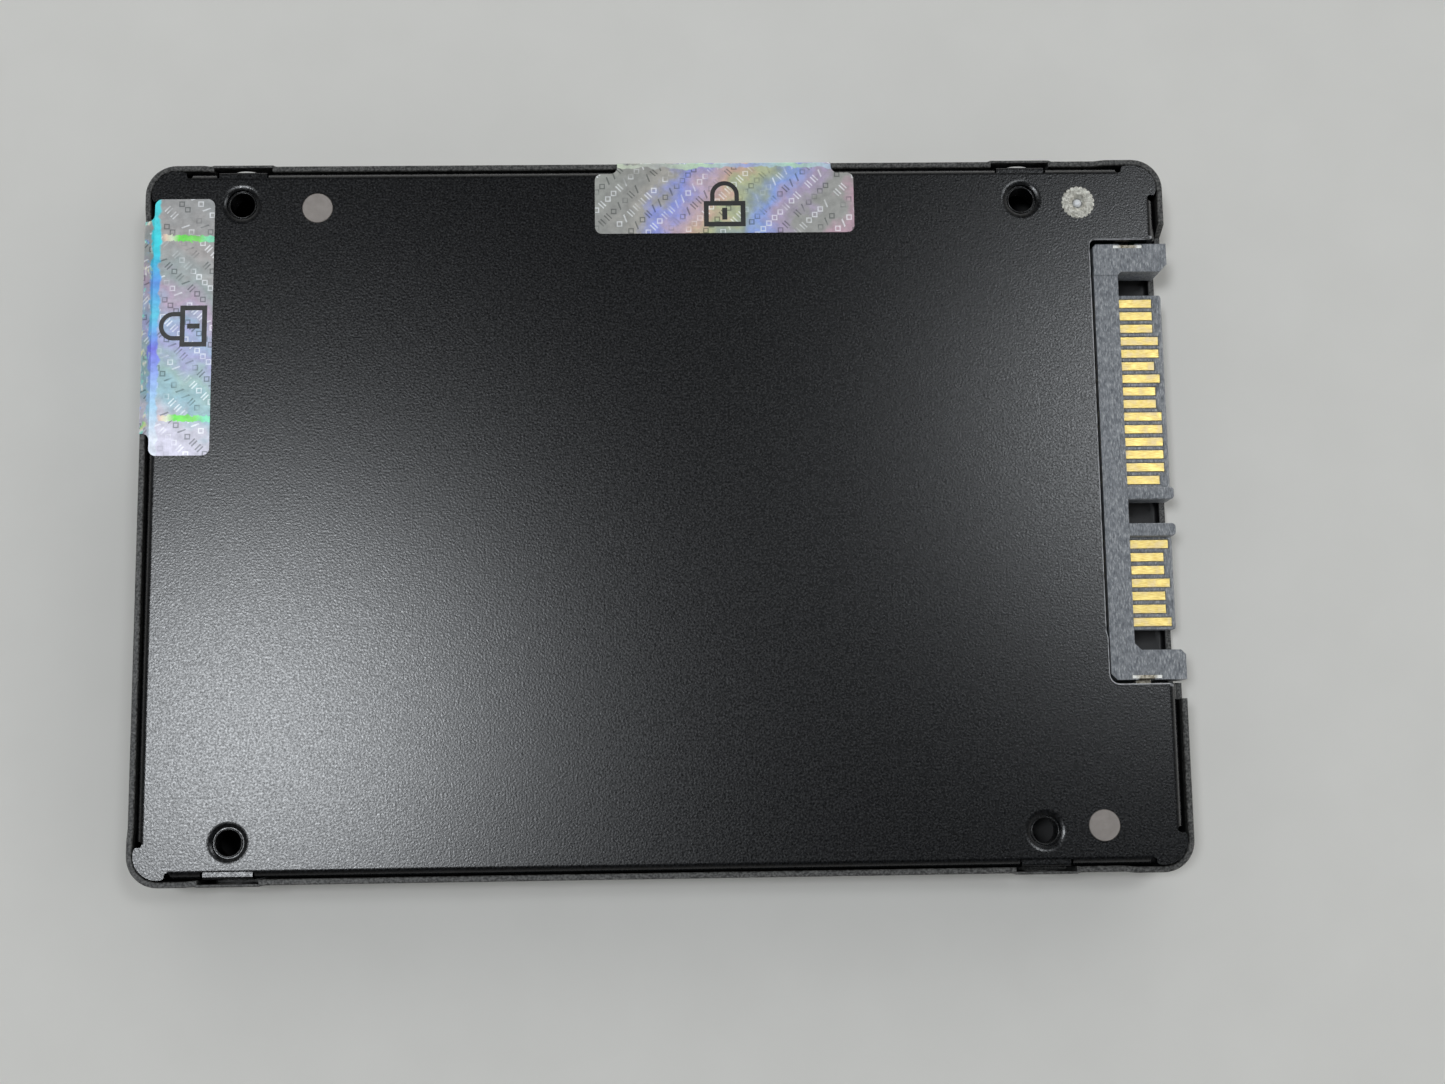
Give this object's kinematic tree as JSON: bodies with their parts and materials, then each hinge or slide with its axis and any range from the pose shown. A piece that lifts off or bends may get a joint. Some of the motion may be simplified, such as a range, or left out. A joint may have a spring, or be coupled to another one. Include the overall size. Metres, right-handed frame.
{
  "type": "solid state drive",
  "caption": "Slim 2.5 inch solid state drive: black sheet-metal case with tapped mounting holes, an edge connector at one end and foil seals.",
  "frame": {"origin": "centre of the drive's outline on its label face, the face it rests on", "axes": "+X towards the connector end, +Y towards the power side of the connector, +Z out of the face with the mounting holes"},
  "size_m": [0.1004, 0.0698, 0.0071],
  "materials": {
    "tray_paint": "black satin fine-texture powder coat on sheet metal",
    "cover_paint": "black satin fine-texture powder coat on sheet metal",
    "board_laminate": "green solder mask on glass-epoxy laminate",
    "connector_plastic": "blue-grey moulded plastic with a fine speckle",
    "contact_gold": "gold-plated copper alloy",
    "tinned_steel": "bright tin plate",
    "pin_steel": "nickel-plated steel, fine-turned face",
    "knurled_steel": "nickel-plated steel, knurled",
    "core_steel": "polished steel",
    "bush_steel": "zinc-plated steel",
    "chip_epoxy": "black moulding compound",
    "ferrite": "grey pressed ferrite",
    "capacitor_case": "moulded ochre case",
    "ceramic": "tan ceramic with tinned ends",
    "resistor_glaze": "black glaze",
    "crystal_can": "nickel-plated lid",
    "fuse_body": "pale ceramic body",
    "thermal_pad": "soft grey-blue silicone pad",
    "seal_film": "silver diffractive film, plain geometric pattern",
    "label_film": "blank white label stock"
  },
  "bodies": {
    "root": {"top_shell": "tray_paint", "bottom_cover": "cover_paint", "circuit_board": "board_laminate", "sata_housing": "connector_plastic", "power_contacts": "contact_gold", "signal_contacts": "contact_gold", "connector_hold_downs": "tinned_steel", "flush_pins": "pin_steel", "knurled_pin": "knurled_steel", "knurled_pin_core": "core_steel", "tray_bushes": "bush_steel", "controller_chip": "chip_epoxy", "dram_chips": "chip_epoxy", "nand_packages_cover_side": "chip_epoxy", "nand_packages_label_side": "chip_epoxy", "power_management_chip": "chip_epoxy", "power_inductors": "ferrite", "hold_up_capacitors": "capacitor_case", "ceramic_capacitors": "ceramic", "chip_resistors": "resistor_glaze", "crystal_oscillator": "crystal_can", "serial_flash_chip": "chip_epoxy", "input_fuses": "fuse_body", "controller_thermal_pad": "thermal_pad", "nand_thermal_pads": "thermal_pad", "side_seal": "seal_film", "end_seal": "seal_film", "front_label": "label_film"}
  },
  "joints": []
}
